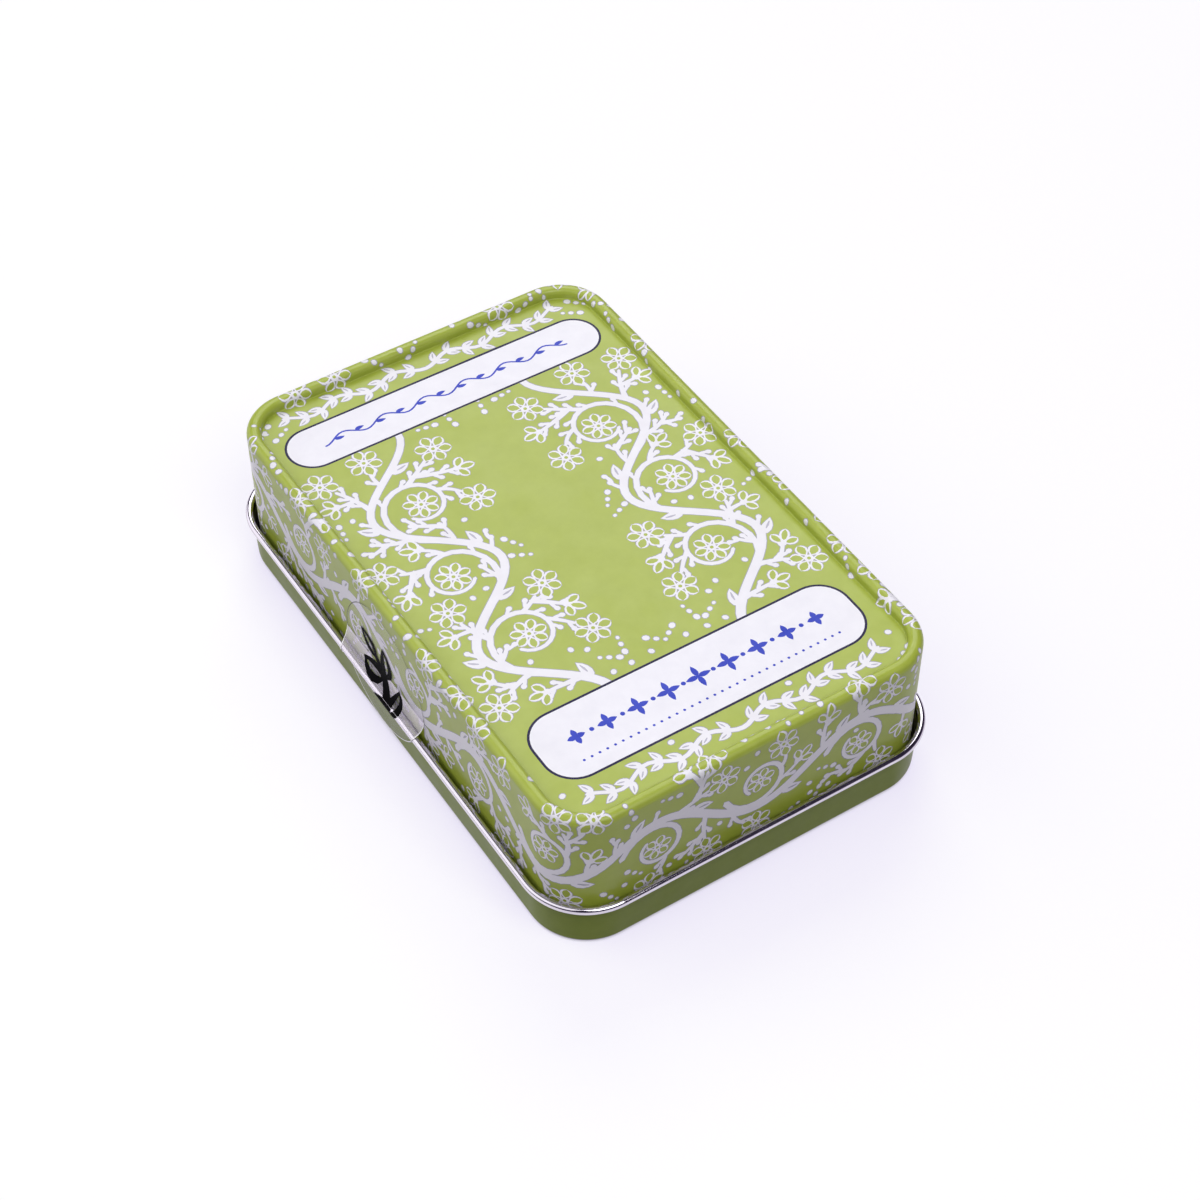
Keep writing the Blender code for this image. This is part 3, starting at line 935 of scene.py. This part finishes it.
def wallPrint(plan, wallRadius, wallTop, usedAtTop):
    # the wall's own scroll is drawn along its length and height, then laid on the blank
    art = newPrint()
    scroll = wallScroll
    x, y = plan["core"]
    arc = wallRadius * math.pi / 2
    stops = np.cumsum([0.0, y, arc, 2 * x, arc, 2 * y, arc, 2 * x, arc, y])
    around = stops[-1]
    ends = ((1, 0), (1, 1), (1, 1), (-1, 1), (-1, 1), (-1, -1), (-1, -1), (1, -1), (1, -1), (1, 0))
    cores = np.array(ends) * plan["core"]
    facing = np.radians([0, 0, 90, 90, 180, 180, 270, 270, 360, 360])

    def onBlank(points):
        s = np.mod(points[:, 0], around)
        used = usedAtTop + wallTop - points[:, 1]
        angle = np.interp(s, stops, facing)
        core = np.column_stack([np.interp(s, stops, column) for column in cores.T])
        return core + (plan["corner"] + used)[:, None] * np.c_[np.cos(angle), np.sin(angle)]

    def keepOut(x, y):
        return y < scroll["heights"][0] or y > scroll["heights"][1]

    period = around / scroll["repeats"]
    stems = []
    for k in range(scroll["repeats"]):
        crest = (k + 0.5) * period
        start, end = crest - period / 2, crest + period / 2
        stem = wave(start, end, scroll["middle"], scroll["swing"], crest, period, 30)
        drawLine(art, stem, *scroll["stem"])
        stems.append(stem)
        for x, side in ((crest, -1), (end, 1)):
            stems.append(drawBranch(art, scroll, (x, scroll["middle"] + side * scroll["offset"]), side))
        leavesAlong(art, stem, *scroll["leaves"])
    grow(art, stems, keepOut, scroll["seeds"][0], scroll["passes"], around)
    bottom, top, tries = scroll["fill"]
    fillIn(art, (0.0, bottom), (around, top), tries, keepOut, scroll["seeds"][1], around)
    return [(kind, onBlank(points)) for kind, points in art["shapes"]]


# The shell

shellPress = {
    "corner": 9.35,
    "fillet": 0.35,  # where the panel meets its step
    "beadInner": 0.85,  # radii at the middle of the sheet
    "beadOuter": 1.1,
    "beadWidth": 2.45,  # from the wall's outer face to the panel's step
    "depth": 1.86,  # of the panel below the bead
    "hemRadius": 0.6,
    "hemTurn": 285,
    "facets": (5, 8, 9, 14),  # of the fillet, the bead's two bends and the hem
    "slotHalfWidth": 5.1,
    "slotHalfHeight": 2.1,
}


def makeShell():
    # one profile: the sunk panel, a bend up its step, the bead's two bends, the straight wall and the hem
    press = shellPress
    thick = tinplate["thickness"]
    low, high = (np.array(corner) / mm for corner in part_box("lid_shell"))
    inset = press["beadWidth"] - thick / 2 + press["fillet"]
    plan = planOf((high[0] - low[0]) / 2, (high[1] - low[1]) / 2, press["corner"], inset)
    wallTop = high[2] - thick / 2 - press["beadOuter"]
    facets = press["facets"]
    top = [
        (press["fillet"], 90, facets[0]),
        press["depth"] - press["fillet"] - press["beadInner"],
        (press["beadInner"], -90, facets[1]),
        press["beadWidth"] - thick - press["beadInner"] - press["beadOuter"],
        (press["beadOuter"], -90, facets[2]),
    ]
    wall = wallTop - low[2] - press["hemRadius"]
    hem = (press["hemRadius"] - thick / 2, -press["hemTurn"], facets[3])
    start = (0, high[2] - press["depth"] - thick / 2)
    line = bentLine(start, 0, top + [wall, hem])
    usedAtTop = bentLine(start, 0, top)[-1, 3]

    outline, rings, radials = ringsAlong(plan, line)
    shapes = [("coat", outline)] + panelPrint()
    shapes += wallPrint(plan, press["corner"], wallTop, usedAtTop)
    shapes += fieldPrint()
    y, half = plan["halfWidth"] + usedAtTop + wallTop - tinplate["hingeHeight"], press["slotHalfHeight"]
    for x in (-tinplate["hingeMiddle"], tinplate["hingeMiddle"]):
        shapes.append(("hole", rectangle(x, press["slotHalfWidth"], y - half, y + half)))

    def place(points, side):
        return layOn(plan, line, points, side, thick)

    return makeSheet("printedShell", shapes, rings + radials, place, 1, finishes)


shell = makeShell()
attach(shell, "shell")
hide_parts("lid_shell")
print("shell made")

# The round film, slit along the rim

film = {
    "diameter": 25.4,
    "thickness": 0.06,
    "off": 0.05,  # from the metal behind it
    "middleX": -1.2,
    "middleZ": 13.3,  # where it leaves the shell's wall
    "hollow": 46,  # degrees that the free stretch turns through on its way to the rim
    "underRim": 55,  # degrees below level at which it leaves the rim
    "slit": 0.12,
    "sideGap": 0.8,  # between the tray's wall and the shell's
    "bend": 0.1,  # radius where it leaves the shell's wall, and where it reaches the tray's
    "edge": 0.19,  # width of the cut edge, drawn wider than it is so that it shows
    "mirror": "#EEE6F5",
    "rough": (0.10, 0.16),
    # painted highlight of the cut edge where the film is free, and painted shadow where it lies on the wall
    "paintedEdgeHighlight": "#FFFDFF",
    "paintedEdgeShadow": "#3A3C26",
    "edgeCover": (1.0, 0.55),  # free and stuck
    "fade": 0.6,  # height in which one look gives way to the next
}


def clearFilm(name, low, high):
    # thin clear polyester: no colour of its own, only the hard gloss of its two faces, here a mirror that
    # covers a share of what lies behind: the low share over the rim, the high one where it leaves the wall
    material, tree, shader, place = newMaterial(name)
    gloss = byHeight(tree, place, low, high, trayPress["rimTop"] + film["fade"], film["middleZ"])
    rough = wander(tree, place, 3.0, *film["rough"], 1.0)
    settings = {"Base Color": film["mirror"], "Metallic": 1.0}
    setNode(tree, shader, settings, {"Roughness": rough, "Alpha": gloss})
    return material


def cutEdge(name):
    # die-cut edge of the film: a near-white painted highlight where the film is free, and a dark hairline of
    # painted shadow on the wall
    material, tree, shader, place = newMaterial(name)
    stuck, cover = (
        byHeight(tree, place, *ends, film["middleZ"], film["middleZ"] + film["fade"])
        for ends in ((0.0, 1.0), film["edgeCover"])
    )
    settings = {"data_type": "RGBA", 6: film["paintedEdgeHighlight"], 7: film["paintedEdgeShadow"]}
    tint = addNode(tree, "ShaderNodeMix", settings, {0: stuck}).outputs[2]
    setNode(tree, shader, {"Roughness": 0.3}, {"Base Color": tint, "Alpha": cover})
    return material


def deepInk(name, dark, light):
    # thick screen ink on film: even, deep and nearly dull
    material, tree, shader, place = newMaterial(name)
    tint, rough = clouded(tree, place, dark, light, 2.0), wander(tree, place, 1.5, 0.45, 0.6)
    settings = {"IOR": 1.5, "Specular IOR Level": 0.03}
    setNode(tree, shader, settings, {"Base Color": tint, "Roughness": rough})
    return material


filmFinishes = {
    "stuck": clearFilm("stuckPolyester", 0.04, 0.05),
    "free": clearFilm("freePolyester", 0.22, 0.58),
    "cutEdge": cutEdge("polyesterCutEdge"),
    "mark": deepInk("blackScreenInk", "#060508", "#0B0A0D"),
}


def filmLine():
    # down the shell's wall, in a hollow curve to the rim, round it, and in to the tray's wall. Outward is
    # measured from the shell's wall. The curve's last heading is found by turns: each guess gives the place
    # where the film meets the rim, and that place gives the next guess
    off = film["off"] + film["thickness"] / 2
    radius = film["diameter"] / 2
    rimRadius = trayPress["rimRadius"]
    rimCentre = np.array([film["sideGap"] + rimRadius, trayPress["rimTop"] - rimRadius])
    roundRim = rimRadius + off
    hollow = math.radians(film["hollow"])
    lean = 0.5
    for _ in range(30):
        last = lean + hollow / 2
        meets = rimCentre + roundRim * np.array([math.cos(last), math.sin(last)])
        across = meets - np.array([off, film["middleZ"]])
        lean = math.atan2(across[0], -across[1])
    run = math.hypot(*across) * (hollow / 2) / math.sin(hollow / 2)
    under = math.radians(film["underRim"])
    reach = rimCentre[0] + roundRim * math.cos(under) - film["sideGap"] - tinplate["thickness"] - off
    moves = [
        radius,
        (film["bend"], math.degrees(lean - hollow / 2), 3),
        (run / hollow, film["hollow"], 12),
        (roundRim, -math.degrees(last) - film["underRim"], 14),
        reach / math.sin(under),
        (film["bend"], film["underRim"], 4),
        radius,
    ]
    line = bentLine((off, film["middleZ"] + radius), -90, moves)
    line[:, 3] -= radius
    return line, run


sprig = {
    "stem": ((-6.0, 7.2), -52, 13.0, 16, 12),  # root, heading, length, bend and points
    "widths": (1.9, 1.5),
    "pairs": ((2, 5.5), (7, 7.0)),  # points of the stem, and lengths of the two leaves there
    "pair": (3.7, 60, 34),  # their width, degrees from the stem, lean
    "tip": (6.2, 3.6),  # length and width of the leaf at the end
}


def filmMark():
    # a plain sprig in black across the slit: a stem with leaves in pairs
    art = newPrint()
    look = {"inside": "clear", "kind": "mark"}
    stem = tendril(*sprig["stem"])
    drawLine(art, stem, *sprig["widths"], "mark")
    for i, length in sprig["pairs"]:
        leafPair(art, stem, i, length, *sprig["pair"], **look)
    drawLeaf(art, stem[-2, :2], math.degrees(stem[-1, 2]), *sprig["tip"], **look)
    return art["shapes"]


def discPart(radius, start, end):
    # outline of a disc between two distances down from its middle
    first, last = (math.acos(max(-1.0, min(1.0, used / radius))) for used in (start, end))
    angles = np.linspace(first, last, 44)
    right = radius * np.c_[np.sin(angles), np.cos(angles)]
    left = right[::-1] * np.array([-1.0, 1.0])
    if start <= -radius:
        left = left[:-1]
    if end >= radius:
        left = left[1:]
    return np.vstack((right, left))


def makeFilm(name, start, end):
    # the part of the disc between two distances down the film from its middle
    line, _ = filmLine()
    radius = film["diameter"] / 2
    inner = radius - film["edge"]
    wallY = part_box("lid_shell")[0][1] / mm
    shapes = [("cutEdge", discPart(radius, start, end)), ("stuck", discPart(inner, start, end))]
    shapes += filmMark()
    if start < 0 < end:
        shapes.append(("free", discPart(inner, 0.0, end)))
    folds = []
    for used in line[:, 3]:
        if start < used < end and abs(used) < radius:
            half = math.sqrt(radius**2 - used**2)
            folds.append((np.array([[-half, used], [half, used]]), False))

    def place(points, side):
        angle, outward, up = faceAt(line, points[:, 1], side, film["thickness"])
        normals = side * np.c_[0 * angle, np.sin(angle), np.cos(angle)]
        return np.c_[film["middleX"] - points[:, 0], wallY - outward, up], normals

    return makeSheet(name, shapes, folds, place, 1, filmFinishes)


radius = film["diameter"] / 2
slitAt = filmLine()[1]
filmUpper = makeFilm("filmUpperHalf", -radius, slitAt - film["slit"] / 2)
filmLower = makeFilm("filmLowerHalf", slitAt + film["slit"] / 2, radius)
for piece, body, node in ((filmUpper, "shell", "seal_upper_half"), (filmLower, "tray", "seal_lower_half")):
    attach(piece, body)
    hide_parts(node)
print("film made")

# Floor, lamps and world

studio = {
    "floor": 3.0,  # metres across
    "floorLit": "#5A5760",  # what the floor throws back on the tin
    "floorGlow": "#CEC5EA",  # what the eye sees of it in full shade
    "floorTint": "#A7B07B",  # and what the lamps add to that
    "contact": 0.006,  # metres, how near a thing must be to dim the floor's glow
    "room": 0.15,  # light of the pale room on the tin
    "roomTint": "#FCFBFF",
    "lowTint": "#776C88",  # the unlit room as gloss shows it, near the horizon
    "highTint": "#2C2636",  # and high up
    "darkens": (50, 450),  # from one to the other, in thousandths above the horizon
    "lamps": {
        "softboxBehind": {"place": (-0.51, 0.32, 0.65), "size": (0.52, 0.52), "power": 2.7},
        "softboxRight": {"place": (0.50, 0.0, 0.75), "size": (0.5, 0.5), "power": 3.5},
        "softboxLeft": {"place": (-0.38, -0.64, 0.62), "size": (2.4, 0.95), "power": 9.2},
    },
}


def seenRays(tree):
    # 1 for the rays that show the background itself: straight to the camera, or by gloss or glass
    path = addNode(tree, "ShaderNodeLightPath").outputs
    seen = path["Is Camera Ray"]
    for kind in ("Is Glossy Ray", "Is Transmission Ray"):
        either = {0: seen, 1: path[kind]}
        seen = addNode(tree, "ShaderNodeMath", {"operation": "MAXIMUM"}, either).outputs[0]
    return seen


def makeFloor():
    # a square sheet that lights the tin plainly, and to the eye glows but where something stands close
    half = studio["floor"] / 2
    mesh = bpy.data.meshes.new("paleFloor")
    corners = np.c_[rectangle(0, half, -half, half), np.zeros(4)]
    mesh.from_pydata(corners.tolist(), [], [(0, 1, 2, 3)])
    floor = bpy.data.objects.new("paleFloor", mesh)
    bpy.context.collection.objects.link(floor)
    material, tree, mixed, _ = newMaterial("palePaperSweep", "ShaderNodeMixShader")
    colours = (studio["floorLit"], studio["floorTint"])
    lit, tint = (addNode(tree, "ShaderNodeBsdfDiffuse", {"Color": colour}) for colour in colours)
    nearby = addNode(tree, "ShaderNodeAmbientOcclusion", {"Distance": studio["contact"]}).outputs["AO"]
    settings = {"From Max": 0.5}  # full glow from half of a free sky
    strength = addNode(tree, "ShaderNodeMapRange", settings, {"Value": nearby}).outputs["Result"]
    glow = addNode(tree, "ShaderNodeEmission", {"Color": studio["floorGlow"]}, {"Strength": strength})
    shown = addNode(tree, "ShaderNodeAddShader", links={0: tint.outputs[0], 1: glow.outputs[0]})
    setNode(tree, mixed, links={0: seenRays(tree), 1: lit.outputs[0], 2: shown.outputs[0]})
    mesh.materials.append(material)


def addLamp(name, place, size, power):
    # a rectangular softbox that looks at the tin
    data = bpy.data.lights.new(name, "AREA")
    data.shape = "RECTANGLE"
    data.size, data.size_y = size
    data.energy = power
    back = np.array(place) / np.linalg.norm(place)
    side = np.cross([0, 1, 0], back)
    side = side / np.linalg.norm(side)
    standAt(bpy.data.objects.new(name, data), side, np.cross(back, side), back, place)


def lightRoom():
    # gloss sees a dimmer room than the eye does, darkest overhead
    world = bpy.data.worlds.new("paleRoom")
    bpy.context.scene.world = world
    world.use_nodes = True
    tree = world.node_tree
    tree.nodes.clear()
    direction = addNode(tree, "ShaderNodeTexCoord").outputs["Generated"]
    above = byHeight(tree, direction, 0.0, 1.0, *studio["darkens"])
    settings = {"data_type": "RGBA", 6: studio["lowTint"], 7: studio["highTint"]}
    dim = addNode(tree, "ShaderNodeMix", settings, {0: above}).outputs[2]
    gloss = addNode(tree, "ShaderNodeLightPath").outputs["Is Glossy Ray"]
    settings = {"data_type": "RGBA", 6: studio["roomTint"]}
    tint = addNode(tree, "ShaderNodeMix", settings, {0: gloss, 7: dim}).outputs[2]
    room, shown = (
        addNode(tree, "ShaderNodeBackground", {"Strength": strength}, {"Color": tint}).outputs[0]
        for strength in (studio["room"], 1.0)
    )
    mixed = addNode(tree, "ShaderNodeMixShader", links={0: seenRays(tree), 1: room, 2: shown})
    addNode(tree, "ShaderNodeOutputWorld", links={"Surface": mixed.outputs[0]})


makeFloor()
for name, lamp in studio["lamps"].items():
    addLamp(name, **lamp)
lightRoom()
bpy.context.scene.view_settings.view_transform = "Standard"
print("studio lit")
